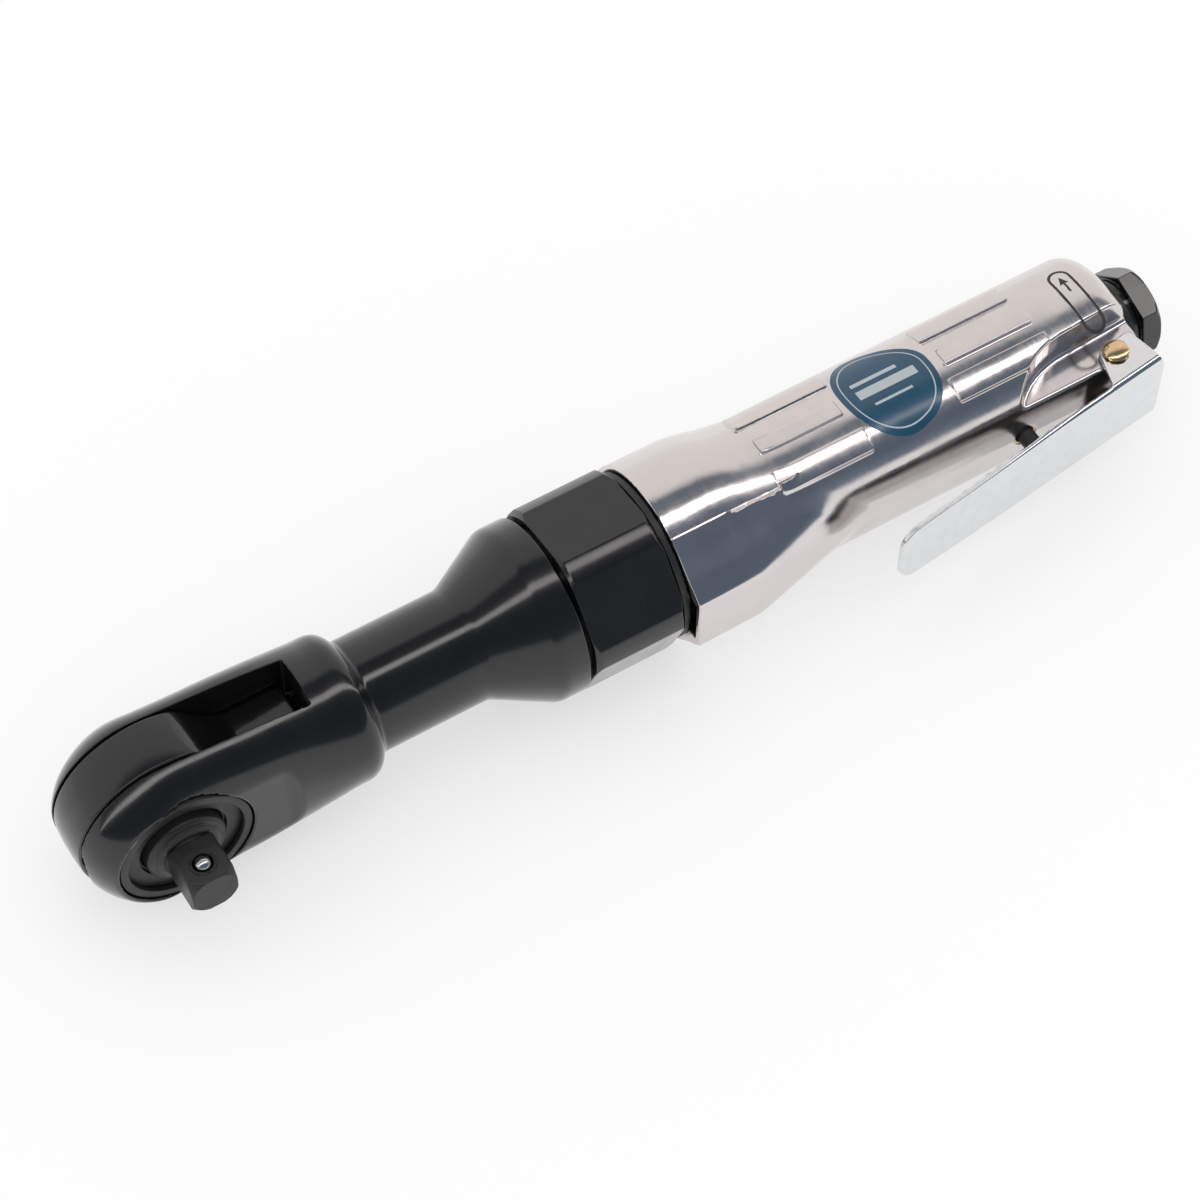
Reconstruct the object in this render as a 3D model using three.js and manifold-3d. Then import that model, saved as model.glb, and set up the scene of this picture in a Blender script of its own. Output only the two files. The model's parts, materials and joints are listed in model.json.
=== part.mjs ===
// Air ratchet with a 3/8 inch square drive, lying on its side.
// The tool is modelled about its own axis: x runs from the drive axis to the air inlet, the square
// points along -y and +z is up. The whole tool is then moved so that the origin is the centre of the
// square's end face. All sizes are millimetres, all angles degrees unless a name says otherwise.
import * as THREE from "three";
import { mergeVertices } from "three/addons/utils/BufferGeometryUtils.js";
import Module from "manifold-3d";

const wasm = await Module();
wasm.setup();

// ---------------------------------------------------------------- driving dimensions
const GAP = 0.3;                 // clearance left between pieces that touch
const FINE = 28;                 // facets round a large piece
const COARSE = 14;               // facets round a small piece
const TINY = 8;                  // facets round a pin
const BEYOND = 30;               // further out from the tool's axis than any piece reaches

// head
const DRIVE_REACH = 24.4;        // tool axis to the end face of the square
const SQUARE = 9.525;            // 3/8 inch across flats
const SQUARE_CORNER_R = 6.35;    // the square's corners are turned to this radius
const EAR_FACE = 13.3;           // tool axis to the outer face of either ear
const FLAT_END = 23;             // how far back the ears' faces stay flat
const HEAD_R = 19.6;             // the head's nose, about the drive axis
const SLOT = { half: 5.85, rear: 31.6 };
const RECESS = { r: 14.3, floor: 9.3 };
const NEAR_BORE_R = 12.6;
const FAR_BORE_R = 9.8;
const KNOB_RECESS = { r: 11.2, floor: 11.5 };
const BARREL_R = 9.8;            // anvil barrel inside the yoke
const DETENT = { fromEnd: 4.4, holeR: 2.05, ballR: 1.75, proud: 0.9, holeFloor: -2.8 };
const YOKE = {
  halfWidth: 5.5, r: 19.2, tipR: 10.4, rootR: 11.5, teeth: 36, shoulder: { x: 7.6, z: 17.6 },
  tailFrom: 16.6, tailX: 30.4, tailHalf: 8, forkX: 20.5, forkHalf: 5.8,
};
const WASHERS = {
  inner: 8.8, outer: 13.8, thick: 0.9, waveFrom: 1.5, waveThick: 0.6, ringFrom: 2.4, ringThick: 1.1,
};
const PAWL = { half: 3.7, innerR: 6.3, outerR: 9.5, sweepDeg: 40, pivotR: 7.8, pinR: 1.1, pinHalf: 4.9 };
const KNOB = {
  stemR: 4.2, boreR: 4.6, stemFrom: -2.6, boreFrom: -3, flangeR: 8.8, flangeTo: 13.9, top: 16.6,
};
const PLUNGER = { r: 1.1, from: -5.5, rear: -2.2, boreR: 1.5, boreEnd: 2.6 };

// neck and the flange that the clamp nut holds
const SHOULDER_R = 15.6;
const NECK_R = 12;
const FLANGE_R = 18.9;
const SPIGOT = { r: 15.5, from: 86, end: 101 };
const BEARING_BORE_R = 9.3;
const NEEDLE_BEARINGS = { front: [46, 58], rear: [87, 99] };
const CRANK_R = 6;
const CRANK_THROW = 1.5;
const BUSHING_R = 2.7;
const CRANK_PIN_R = 1.7;

// planetary gears: module 0.75, so the pitch radii are 3, 3.75 and 10.5
const MODULE = 0.75;
const SUN_TEETH = 8;
const PLANET_TEETH = 10;
const RING_TEETH = SUN_TEETH + 2 * PLANET_TEETH;
const PLANET_ORBIT = MODULE * (SUN_TEETH + PLANET_TEETH) / 2;
const PLANETS = 3;
const GEAR_X = [106.6, 114.4];   // the planets' two faces
const CARRIER = { r: 9.4, front: [103.6, 106.2], rear: [114.8, 116.6], webAt: 7.4, webHalf: 1.3 };
const RING_GEAR_X = [101.4, 118];
const PLANET_PIN_R = 1.2;

// air motor
const MOTOR_R = 13.9;
const ROTOR_R = 10.2;
const CYLINDER_BORE = { r: 11.3, offset: 0.9 };
const VANES = 4;
const VANE = { thick: 1.4, slot: 2.0, innerR: 5.0, outerR: 10.1, floorR: 4.6 };
const ROTOR_X = [124.6, 159.6];
const PLATE = { front: [118.4, 123.9], rear: [160.3, 165.6] };
const DOWEL = { r: 0.8, holeR: 1.1, z: -12.15 };

// clamp nut and motor housing
const NUT = {
  front: 87, rear: 107.5, r: 19.8, flats: 18.2, cornersDeg: 52.3, edge: 0.9,
  threadR: 16.5, threadEnd: 117.8, boreR: 14.2,
};
const HOUSING = {
  front: 109.5, rear: 223, frontR: 19.1, waist: 15.8, mouthR: 16.9, mouthEnd: 118.1, boreR: 14.2,
};
const EXHAUST = { end: 121, deep: -19.4, half: 5.4 };
const KEEL = { face: 21.1, half: 6.8 };
const VALVE_X = 192;
const STEM_R = 1.9;
const AIR_WAY_R = 3.3;
const LEVER_PIN = { x: 215.3, y: -13.3, holeR: 1.8 };
const TONGUE_HALF = 7.7;         // half thickness of the housing between the lever's cheeks
const CHEEK = { inner: 8.05, outer: 9.25 };
const BLADE = { tipX: 152.6, tipY: -28.8, tipHalf: 7.5, rearX: 223.6, slopeDeg: 7.4, thick: 1.3, flare: 22 };
const INLET = {
  boreR: 6.9, socketR: 5.6, socketFrom: 219, passageR: 3.6, barrelFrom: 210, sealR: 9.4, sealEnd: 224.9,
  neckR: 8.3, hexX: [227, 231.8], hexAcross: 17.6, cornersDeg: 19, faceR: 8.9,
};
const LABEL = {                   // where the outline starts, then a handle and an end for each bend
  start: [157, 2], bends: [[157, -5, 160.5, -8.5], [165, -13, 172.5, -10], [178.5, -7, 178, 1.5],
    [178, 6, 171.5, 9.3], [163, 13.5, 158.8, 8], [157, 6, 157, 2]],
  thick: 0.4,
};

// ---------------------------------------------------------------- solids from three.js shapes
function solid(geometry) {
  geometry.deleteAttribute("normal");
  geometry.deleteAttribute("uv");
  const merged = mergeVertices(geometry, 1e-4);
  const at = merged.attributes.position;
  const kept = [];
  for (let i = 0; i < merged.index.count; i += 3) {
    const [a, b, c] = [0, 1, 2].map((k) => merged.index.getX(i + k));
    if (a !== b && b !== c && c !== a) kept.push(a, b, c);
  }
  const [p, q, r] = [new THREE.Vector3(), new THREE.Vector3(), new THREE.Vector3()];
  let volume = 0;
  for (let i = 0; i < kept.length; i += 3) {
    p.fromBufferAttribute(at, kept[i]);
    q.fromBufferAttribute(at, kept[i + 1]);
    r.fromBufferAttribute(at, kept[i + 2]);
    volume += p.dot(q.cross(r));
  }
  if (volume < 0) kept.reverse();
  return new wasm.Manifold(new wasm.Mesh({
    numProp: 3, vertProperties: new Float32Array(at.array), triVerts: new Uint32Array(kept),
  }));
}

const joined = (...bodies) => bodies.reduce((all, next) => all.add(next));
const cut = (body, ...tools) => tools.reduce((left, tool) => left.subtract(tool), body);

// profile points are [radius, place along the axis]
function revolved(axis, profile, facets = FINE) {
  const geometry = new THREE.LatheGeometry(profile.map((p) => new THREE.Vector2(...p)), facets);
  if (axis === "x") geometry.rotateZ(-Math.PI / 2);
  if (axis === "z") geometry.rotateX(Math.PI / 2);
  return solid(geometry);
}

const drum = (axis, r, from, to, facets) =>
  revolved(axis, [[0, from], [r, from], [r, to], [0, to]], facets);

const ring = (axis, inner, outer, from, to, facets) =>
  revolved(axis, [[inner, from], [outer, from], [outer, to], [inner, to], [inner, from]], facets);

function block(x, y, z) {
  const box = new THREE.BoxGeometry(x[1] - x[0], y[1] - y[0], z[1] - z[0]);
  return solid(box.translate((x[0] + x[1]) / 2, (y[0] + y[1]) / 2, (z[0] + z[1]) / 2));
}

// an outline pushed from one place to another along an axis: outlines are drawn in x,y for z,
// in x,z for y and in y,z for x
const FRAMES = {
  x: [[0, 1, 0], [0, 0, 1], [1, 0, 0]],
  y: [[1, 0, 0], [0, 0, 1], [0, -1, 0]],
  z: [[1, 0, 0], [0, 1, 0], [0, 0, 1]],
};
function pushed(axis, shape, from, to, curveSegments = 6) {
  const geometry = new THREE.ExtrudeGeometry(shape, { depth: to - from, bevelEnabled: false, curveSegments });
  const axes = FRAMES[axis].map((v) => new THREE.Vector3(...v));
  geometry.applyMatrix4(new THREE.Matrix4().makeBasis(...axes));
  const start = axis === "y" ? to : from;
  return solid(geometry.translate(...["x", "y", "z"].map((name) => (name === axis ? start : 0))));
}

const polygon = (points) => new THREE.Shape(points.map((p) => new THREE.Vector2(...p)));

const polar = (r, degrees) => {
  const angle = THREE.MathUtils.degToRad(degrees);
  return [r * Math.cos(angle), r * Math.sin(angle)];
};

// a hexagon of a given size across its flats, with one corner at cornerDeg
const hexagon = (across, cornerDeg) =>
  polygon(Array.from({ length: 6 }, (_, i) => polar(across / Math.sqrt(3), cornerDeg + 60 * i)));

// a closed skin through rings of [y, z] points, one ring at each x
function loft(stations) {
  const count = stations[0].ring.length;
  const places = stations.flatMap(({ x, ring: points }) => points.flatMap(([y, z]) => [x, y, z]));
  const last = stations.length - 1;
  const faces = [];
  for (let s = 0; s < last; s++) {
    for (let i = 0; i < count; i++) {
      const [a, b] = [s * count + i, s * count + ((i + 1) % count)];
      faces.push(a, b, b + count, a, b + count, a + count);
    }
  }
  for (let i = 1; i < count - 1; i++) {
    faces.push(0, i + 1, i, last * count, last * count + i, last * count + i + 1);
  }
  const geometry = new THREE.BufferGeometry();
  geometry.setAttribute("position", new THREE.Float32BufferAttribute(places, 3));
  geometry.setIndex(faces);
  return solid(geometry);
}

// a rounded section: power 2 is an ellipse, and a higher power is squarer
function rounded(halfY, halfZ, power, sides = FINE) {
  const squared = (t) => Math.sign(t) * Math.abs(t) ** (2 / power);
  return Array.from({ length: sides }, (_, i) => {
    const [c, s] = polar(1, (360 * (i + 0.5)) / sides);
    return [halfY * squared(c), halfZ * squared(s)];
  });
}

// teeth as trapezoids from the root radius to the tip radius; a half is an angle in degrees
function toothed(teeth, rootR, tipR, rootHalf, tipHalf, turn = 0) {
  const corners = [[rootR, -rootHalf], [tipR, -tipHalf], [tipR, tipHalf], [rootR, rootHalf]];
  return Array.from({ length: teeth }, (_, i) =>
    corners.map(([r, half]) => polar(r, turn + (360 * i) / teeth + half))).flat();
}

// ---------------------------------------------------------------- the tool as a scene graph
const tool = new THREE.Group();
tool.position.set(0, DRIVE_REACH, 0);

const BLACK_STEEL = { color: 0x0d0d0e, roughness: 0.22, metalness: 0.55 };
const DARK_STEEL = { color: 0x29292b, roughness: 0.38, metalness: 0.85 };
const BRIGHT_STEEL = { color: 0xb9bcc0, roughness: 0.25, metalness: 1 };
const CAST_ALUMINIUM = { color: 0xc9c6c4, roughness: 0.28, metalness: 1 };
const CHROME = { color: 0xe4e6e8, roughness: 0.12, metalness: 1 };
const BRASS = { color: 0xcda76b, roughness: 0.2, metalness: 1 };
const BLACK_RUBBER = { color: 0x111111, roughness: 0.7, metalness: 0 };
const PHENOLIC = { color: 0x6b4326, roughness: 0.6, metalness: 0 };
const BLUE_FILM = { color: 0x0a4062, roughness: 0.35, metalness: 0 };

function add(name, body, finish) {
  const { vertProperties, triVerts } = body.getMesh();
  const geometry = new THREE.BufferGeometry();
  geometry.setAttribute("position", new THREE.BufferAttribute(vertProperties, 3));
  geometry.setIndex(new THREE.BufferAttribute(triVerts, 1));
  const mesh = new THREE.Mesh(geometry, new THREE.MeshStandardMaterial({ ...finish, flatShading: true }));
  mesh.name = name;
  tool.add(mesh);
}

// ---------------------------------------------------------------- ratchet head
function ratchetHousing() {
  const crown = revolved("y", [[0, -EAR_FACE], [15.1, -EAR_FACE], [16.6, -12.2], [17.8, -10], [18.7, -7],
    [HEAD_R, -2.5], [HEAD_R, 2.5], [18.9, 7], [17.6, 9.9], [14.5, 12], [12.2, EAR_FACE], [0, EAR_FACE]], 20);
  const shoulderX = 37;
  const [startY, growth] = [EAR_FACE, (SHOULDER_R - EAR_FACE) / shoulderX];
  const body = loft([[0, 18.8, 3], [12, 18, 2.8], [24, 16.6, 2.5], [shoulderX, SHOULDER_R, 2]].map(
    ([x, half, power]) => ({ x, ring: rounded(startY + growth * x, half, power) })));
  const neck = revolved("x", [[0, 36], [SHOULDER_R, 36], [SHOULDER_R, 38.6], [14.6, 41], [12.6, 43.4],
    [NECK_R, 44.4], [NECK_R, 67.5], [18.2, 79.4], [FLANGE_R, 80.4], [FLANGE_R, SPIGOT.from],
    [SPIGOT.r, SPIGOT.from], [SPIGOT.r, SPIGOT.end], [0, SPIGOT.end]]);
  const flats = [[-BEYOND, -EAR_FACE], [EAR_FACE, BEYOND]].map((y) =>
    block([-BEYOND, FLAT_END], y, [-BEYOND, BEYOND]));
  return cut(joined(crown, body, neck), ...flats,
    block([-BEYOND, SLOT.rear], [-SLOT.half, SLOT.half], [-BEYOND, BEYOND]),
    drum("y", RECESS.r, -BEYOND, -RECESS.floor), drum("y", NEAR_BORE_R, -RECESS.floor - 1, 0),
    drum("y", FAR_BORE_R, 0, BEYOND), drum("y", KNOB_RECESS.r, KNOB_RECESS.floor, BEYOND),
    drum("x", CRANK_R + 0.6, SLOT.rear - 1, NEEDLE_BEARINGS.front[0]),
    drum("x", BEARING_BORE_R, NEEDLE_BEARINGS.front[0] - 2, SPIGOT.end + 1));
}

function yoke() {
  const lean = Math.atan2(YOKE.shoulder.z, YOKE.shoulder.x);
  const wide = [-YOKE.halfWidth, YOKE.halfWidth];
  const outline = new THREE.Shape();
  outline.absarc(0, 0, YOKE.r, lean, 2 * Math.PI - lean, false);
  outline.lineTo(YOKE.tailFrom, -YOKE.tailHalf);
  outline.lineTo(YOKE.tailX, -YOKE.tailHalf);
  outline.lineTo(YOKE.tailX, YOKE.tailHalf);
  outline.lineTo(YOKE.tailFrom, YOKE.tailHalf);
  const crown = revolved("y", [[0, -YOKE.halfWidth], [18.2, -YOKE.halfWidth], [YOKE.r, -2], [YOKE.r, 2],
    [18.2, YOKE.halfWidth], [0, YOKE.halfWidth]], 20);
  const tail = block([YOKE.tailFrom - 2, YOKE.tailX + 1], wide, [-YOKE.tailHalf, YOKE.tailHalf]);
  const teeth = polygon(toothed(YOKE.teeth, YOKE.rootR, YOKE.tipR, 3.4, 1.4));
  return cut(pushed("y", outline, ...wide, 14).intersect(joined(crown, tail)), pushed("y", teeth, -7, 7),
    block([YOKE.forkX, YOKE.tailX + 1], [-7, 7], [-YOKE.forkHalf, YOKE.forkHalf]));
}

// a sector of a ring on the nose side of the drive axis
function sector(innerR, outerR, sweepDeg) {
  const sweep = THREE.MathUtils.degToRad(sweepDeg);
  const shape = new THREE.Shape();
  shape.absarc(0, 0, outerR, Math.PI - sweep, Math.PI + sweep, false);
  shape.absarc(0, 0, innerR, Math.PI + sweep, Math.PI - sweep, true);
  return shape;
}

// the anvil's moving parts sit in a bore from its far end and a pocket on its nose side
function anvil() {
  const end = -DRIVE_REACH;
  const [collarEnd, journalEnd, journalFrom] = [-13.4, -9, -6.1];
  const across = [-SQUARE / 2, SQUARE / 2];
  const square = block(across, [end, collarEnd + 0.4], across).intersect(
    revolved("y", [[0, end], [4.9, end], [SQUARE_CORNER_R, end + 1.5],
      [SQUARE_CORNER_R, -14.6], [5.6, -13.6], [5.6, collarEnd + 0.4], [0, collarEnd + 0.4]]));
  const turned = revolved("y", [[0, collarEnd], [7.6, collarEnd], [8.4, -12.6], [8.4, journalEnd],
    [12.2, journalEnd], [12.2, journalFrom], [BARREL_R, journalFrom], [BARREL_R, 5.6], [9.4, 5.8],
    [9.4, KNOB_RECESS.floor - GAP], [0, KNOB_RECESS.floor - GAP]]);
  const pocket = sector(PAWL.innerR - 0.7, BARREL_R + 3, PAWL.sweepDeg + 12);
  const plungerWindow = block([-7, -3.1], [-1.8, 1.8], [-4.2, 4.2]);
  return cut(joined(square, turned), pushed("y", pocket, -PAWL.half - GAP, PAWL.half + GAP),
    drum("y", KNOB.boreR, KNOB.boreFrom, 15, COARSE), plungerWindow,
    drum("y", PAWL.pinR + GAP, -PAWL.pinHalf - GAP, PAWL.pinHalf + GAP, TINY).translate([-PAWL.pivotR, 0, 0]),
    drum("z", DETENT.holeR, DETENT.holeFloor, 8, TINY).translate([0, DETENT.fromEnd - DRIVE_REACH, 0]));
}

function pawl() {
  const body = pushed("y", sector(PAWL.innerR, PAWL.outerR, PAWL.sweepDeg), -PAWL.half, PAWL.half);
  return cut(body, drum("y", PAWL.pinR + GAP, -5, 5, TINY).translate([-PAWL.pivotR, 0, 0]));
}

function reverseKnob() {
  const stem = drum("y", KNOB.stemR, KNOB.stemFrom, KNOB_RECESS.floor + 1, COARSE);
  const flange = revolved("y", [[0, KNOB_RECESS.floor], [KNOB.flangeR, KNOB_RECESS.floor],
    [KNOB.flangeR, KNOB.flangeTo - 0.8], [KNOB.flangeR - 0.8, KNOB.flangeTo], [0, KNOB.flangeTo]], 20);
  const thumb = block([-8.2, 8.2], [KNOB.flangeTo - 1, KNOB.top], [-1.7, 1.7]);
  return cut(joined(stem, flange, thumb), drum("x", PLUNGER.boreR, -6, PLUNGER.boreEnd, TINY));
}

// the washers behind the near ear's retaining ring; from is how far out they start from the recess floor
function washer(inner, outer, from, thick) {
  return ring("y", inner, outer, -RECESS.floor - from - thick, -RECESS.floor - from);
}

const detentBall = new THREE.SphereGeometry(DETENT.ballR, 14, 10)
  .translate(0, DETENT.fromEnd - DRIVE_REACH, SQUARE / 2 + DETENT.proud - DETENT.ballR);
const ballFloor = SQUARE / 2 + DETENT.proud - 2 * DETENT.ballR;

add("ratchet_housing", ratchetHousing(), BLACK_STEEL);
add("ratchet_yoke", yoke(), BLACK_STEEL);
add("drive_anvil", anvil(), DARK_STEEL);
add("detent_ball", solid(detentBall), BRIGHT_STEEL);
add("detent_spring", ring("z", 0.6, 1.3, DETENT.holeFloor + GAP, ballFloor - GAP, TINY)
  .translate([0, DETENT.fromEnd - DRIVE_REACH, 0]), BRIGHT_STEEL);
add("ratchet_pawl", pawl(), DARK_STEEL);
add("pawl_pin", drum("y", PAWL.pinR, -PAWL.pinHalf, PAWL.pinHalf, TINY).translate([-PAWL.pivotR, 0, 0]),
  BRIGHT_STEEL);
add("reverse_knob", reverseKnob(), BLACK_STEEL);
add("reverse_plunger", revolved("x", [[0, PLUNGER.from], [0.7, PLUNGER.from + 0.2],
  [PLUNGER.r, PLUNGER.from + 0.8], [PLUNGER.r, PLUNGER.rear], [0, PLUNGER.rear]], TINY), BRIGHT_STEEL);
add("plunger_spring", ring("x", 0.5, 1.0, PLUNGER.rear + GAP, PLUNGER.boreEnd - 0.4, TINY), BRIGHT_STEEL);
add("thrust_washer", washer(WASHERS.inner, WASHERS.outer, GAP, WASHERS.thick), DARK_STEEL);
add("wave_washer", washer(WASHERS.inner + 0.4, WASHERS.outer - 0.6, WASHERS.waveFrom, WASHERS.waveThick),
  DARK_STEEL);
add("retaining_ring", washer(WASHERS.inner + 1.8, WASHERS.outer + 0.2, WASHERS.ringFrom, WASHERS.ringThick),
  DARK_STEEL);

// ---------------------------------------------------------------- crankshaft and planetary gears
const orbitDeg = Array.from({ length: PLANETS }, (_, i) => 90 + (360 * i) / PLANETS);
const onOrbit = (body, degrees, r = PLANET_ORBIT) => body.translate([0, ...polar(r, degrees)]);

function crankshaft() {
  const { front, rear, webAt, webHalf } = CARRIER;
  const pin = drum("x", CRANK_PIN_R, 21.2, 33, TINY).translate([0, CRANK_THROW, 0]);
  const shaft = drum("x", CRANK_R, 32, front[0] + 1, 20);
  const plates = [front, rear].map((x) => drum("x", CARRIER.r, ...x));
  const web = block([front[0], rear[1]], [-webHalf, webHalf], [-webHalf, webHalf]);
  const webs = orbitDeg.map((degrees) => onOrbit(web, degrees + 180 / PLANETS, webAt));
  const pinHole = drum("x", PLANET_PIN_R + GAP, front[1] - 1.2, rear[1] + 3, TINY);
  const pinHoles = orbitDeg.map((degrees) => onOrbit(pinHole, degrees));
  const sunWay = drum("x", 4.2, rear[0] - 0.2, rear[1] + 1, COARSE);
  return cut(joined(pin, shaft, ...plates, ...webs), sunWay, ...pinHoles);
}

function ringGear() {
  const teeth = polygon(toothed(RING_TEETH, 11.35, 9.95, 3.0, 1.3, 90 + 180 / RING_TEETH));
  return cut(drum("x", MOTOR_R, ...RING_GEAR_X), pushed("x", teeth, RING_GEAR_X[0] - 1, RING_GEAR_X[1] + 1));
}

// a planet carried round from the first one's place rolls inside the fixed ring gear
function planetGear(index) {
  const turn = 90 + (360 / PLANETS) * index * (1 - RING_TEETH / PLANET_TEETH);
  const gear = pushed("x", polygon(toothed(PLANET_TEETH, 2.85, 4.3, 8.5, 3.6, turn)), ...GEAR_X);
  return onOrbit(cut(gear, drum("x", PLANET_PIN_R + GAP, 100, 120, TINY)), orbitDeg[index]);
}

add("crankshaft", crankshaft(), DARK_STEEL);
add("drive_bushing", ring("x", CRANK_PIN_R + GAP, BUSHING_R, 21.4, 29.6, COARSE)
  .translate([0, CRANK_THROW, 0]), BRIGHT_STEEL);
add("front_needle_bearing", ring("x", CRANK_R + GAP, BEARING_BORE_R - GAP, ...NEEDLE_BEARINGS.front, 20),
  BRIGHT_STEEL);
add("rear_needle_bearing", ring("x", CRANK_R + GAP, BEARING_BORE_R - GAP, ...NEEDLE_BEARINGS.rear, 20),
  BRIGHT_STEEL);
add("ring_gear", ringGear(), DARK_STEEL);
for (let i = 0; i < PLANETS; i++) {
  add(`planet_gear_${i + 1}`, planetGear(i), BRIGHT_STEEL);
  add(`planet_pin_${i + 1}`, onOrbit(drum("x", PLANET_PIN_R, 105.4, 116.4, TINY), orbitDeg[i]), BRIGHT_STEEL);
}

// ---------------------------------------------------------------- air motor
const dowelHole = drum("x", DOWEL.holeR, 110, 170, TINY).translate([0, 0, DOWEL.z]);

function rotor() {
  const sun = polygon(toothed(SUN_TEETH, 2.1, 3.5, 11, 4.4, 90 + 180 / SUN_TEETH));
  const pinion = pushed("x", sun, 106.8, 117.2);
  const shaft = revolved("x", [[0, 117], [3.5, 117], [3.5, ROTOR_X[0]], [ROTOR_R, ROTOR_X[0]],
    [ROTOR_R, ROTOR_X[1]], [3, ROTOR_X[1]], [3, 165.4], [0, 165.4]]);
  const slots = Array.from({ length: VANES }, (_, i) =>
    block([110, 170], [-VANE.slot / 2, VANE.slot / 2], [VANE.floorR, 20]).rotate([(360 * i) / VANES, 0, 0])
      .intersect(block([ROTOR_X[0] - 0.01, ROTOR_X[1] + 0.01], [-20, 20], [-20, 20])));
  return cut(joined(pinion, shaft), ...slots);
}

function motorCylinder() {
  const ports = [132, 142, 152].map((x) => drum("y", 1.6, -20, -10, TINY).translate([x, 0, 0]));
  const bore = drum("x", CYLINDER_BORE.r, 120, 165).translate([0, 0, CYLINDER_BORE.offset]);
  return cut(drum("x", MOTOR_R, PLATE.front[1] + GAP, PLATE.rear[0] - GAP), bore, dowelHole, ...ports);
}

add("rotor", rotor(), DARK_STEEL);
for (let i = 0; i < VANES; i++) {
  add(`rotor_vane_${i + 1}`, block([ROTOR_X[0] + 0.2, ROTOR_X[1] - 0.2], [-VANE.thick / 2, VANE.thick / 2],
    [VANE.innerR, VANE.outerR]).rotate([(360 * i) / VANES, 0, 0]), PHENOLIC);
}
add("motor_cylinder", motorCylinder(), BRIGHT_STEEL);
add("front_end_plate", cut(drum("x", MOTOR_R, ...PLATE.front), drum("x", 8.4, 110, 122.6, 20),
  drum("x", 4.4, 110, 130, COARSE), dowelHole), CAST_ALUMINIUM);
add("front_ball_bearing", ring("x", 3.9, 8.1, 118.6, 122.2, 20), BRIGHT_STEEL);
add("rear_end_plate", cut(drum("x", MOTOR_R, ...PLATE.rear), drum("x", 6.9, 162.2, 170, 20),
  drum("x", 3.9, 158, 170, COARSE), dowelHole), CAST_ALUMINIUM);
add("rear_ball_bearing", ring("x", 3.4, 6.6, 162.5, 165.4, 20), BRIGHT_STEEL);
add("motor_dowel", drum("x", DOWEL.r, 119, 165.3, TINY).translate([0, 0, DOWEL.z]), BRIGHT_STEEL);

// ---------------------------------------------------------------- clamp nut
function clampNut() {
  const { front, rear, r, edge } = NUT;
  const turned = revolved("x", [[0, front], [r - edge, front], [r, front + edge], [r, rear - edge],
    [r - edge, rear], [0, rear]], 32);
  const grip = turned.intersect(pushed("x", hexagon(2 * NUT.flats, NUT.cornersDeg), front - 1, rear + 1));
  const thread = drum("x", NUT.threadR, rear - 1, NUT.threadEnd);
  return cut(joined(grip, thread), drum("x", SPIGOT.r + GAP, SPIGOT.from, SPIGOT.end + GAP),
    drum("x", NUT.boreR, SPIGOT.end - 1, NUT.threadEnd + 1));
}

add("clamp_nut", clampNut(), BLACK_STEEL);
add("mouth_seal", ring("x", 16.8, 18.2, NUT.rear + GAP, HOUSING.front - GAP), BLACK_RUBBER);

// ---------------------------------------------------------------- motor housing
const SKIN_STATIONS = [
  [HOUSING.front, HOUSING.frontR, 2], [121, HOUSING.frontR, 2], [126, 18.6, 2], [131, 17.3, 2.1],
  [136, 16.2, 2.3], [142, HOUSING.waist, 2.5], [211, HOUSING.waist, 2.5], [216.5, 15.6, 2.5],
  [220, 14.4, 2.4], [222.2, 12.4, 2.2], [HOUSING.rear, 10.8, 2],
];
const skin = (proud) => loft(SKIN_STATIONS.map(([x, half, power]) =>
  ({ x, ring: rounded(half + proud, half + proud, power) })));

// the keel under the motor: a flat face that runs back and fades into the waist
function keel() {
  const stations = [
    [HOUSING.front, KEEL.face, KEEL.half], [124, KEEL.face, KEEL.half], [129, 20.4, 6.6], [137, 19.1, 6.2],
    [145, 17.7, 5.8], [157, 15.6, 5.2],
  ];
  const [rootY, rootZ] = [0.52, 0.72];       // where the flanks leave the skin, as shares of the face's reach
  return loft(stations.map(([x, face, half]) => ({
    x, ring: [[-face, -half], [-face, half], [-rootY * face, rootZ * face], [-rootY * face, -rootZ * face]],
  })));
}

// low raised bars on both sides of the grip
const BARS = [
  { x: [135.5, 157], y: [-10.8, -6] }, { x: [136, 155.5], y: [-1.7, 2] }, { x: [135, 157], y: [6.4, 11] },
  { x: [178.5, 202.3], y: [-10.2, -5.1] }, { x: [180.3, 201.6], y: [-1.9, 2.1] },
  { x: [179, 201], y: [5.6, 10.6] },
];
const BAR_PROUD = 0.7;

function gripBars() {
  const bars = [[0, BEYOND], [-BEYOND, 0]].flatMap((z) => BARS.map(({ x, y }) => block(x, y, z)));
  return joined(...bars).intersect(skin(BAR_PROUD));
}

// the pocket that each cheek of the lever swings in
function cheekPocket(side) {
  const outline = new THREE.Shape();
  outline.moveTo(189.5, -BEYOND);
  outline.lineTo(190.5, -15.2);
  outline.quadraticCurveTo(194.5, -8.6, 204.6, -7.1);
  outline.lineTo(240, -5.2);
  outline.lineTo(240, -BEYOND);
  return side > 0 ? pushed("z", outline, TONGUE_HALF, BEYOND) : pushed("z", outline, -BEYOND, -TONGUE_HALF);
}

const onValve = (body) => body.translate([VALVE_X, 0, 0]);
const onPin = (body) => body.translate([LEVER_PIN.x, LEVER_PIN.y, 0]);
const pinHole = onPin(drum("z", LEVER_PIN.holeR, -BEYOND, BEYOND, TINY));

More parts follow.
